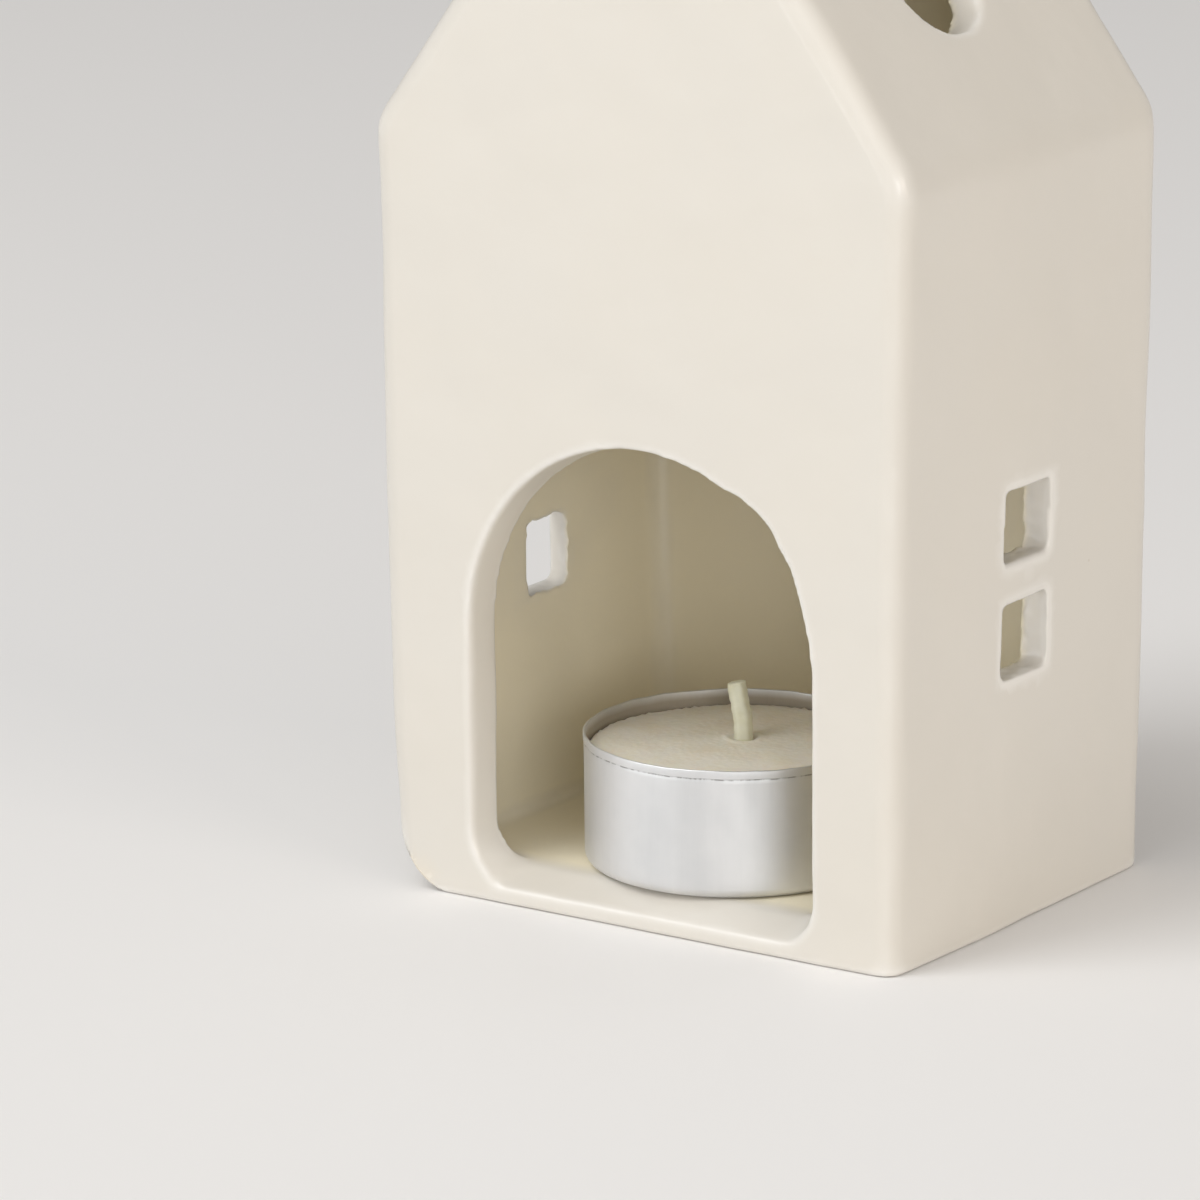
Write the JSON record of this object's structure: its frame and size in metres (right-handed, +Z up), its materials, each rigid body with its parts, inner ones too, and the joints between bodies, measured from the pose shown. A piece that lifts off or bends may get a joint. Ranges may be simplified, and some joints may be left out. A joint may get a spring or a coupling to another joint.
{
  "type": "tealight house",
  "caption": "Glazed ceramic house lantern with an arched doorway, side panes and round roof vents, and a loose tealight that slides out through the doorway.",
  "frame": {"origin": "middle of the footprint, on the surface the house stands on", "axes": "+Z up, -Y out of the doorway, +X to the right seen from the front"},
  "size_m": [0.0788, 0.059, 0.1497],
  "materials": {
    "glaze": "glossy cream glaze",
    "cup_aluminium": "drawn, bright",
    "wax": "pressed wax",
    "wick_cotton": "waxed cotton",
    "tab_steel": "tinned"
  },
  "bodies": {
    "house": {"front_gable_wall": "glaze", "rear_gable_wall": "glaze", "left_wall": "glaze", "right_wall": "glaze", "left_roof": "glaze", "right_roof": "glaze", "floor_slab": "glaze"},
    "tealight": {"tealight_cup": "cup_aluminium"},
    "candle": {"wax_cake": "wax", "wick": "wick_cotton", "wick_sustainer": "tab_steel"}
  },
  "joints": [
    {"name": "tealight_slide", "type": "slide", "parent": "house", "child": "tealight", "axis": [0, -1, 0], "range_m": [-0.013, 0.046]},
    {"name": "candle_lift", "type": "slide", "parent": "tealight", "child": "candle", "axis": [0, 0, 1], "range_m": [0, 0.018]}
  ]
}
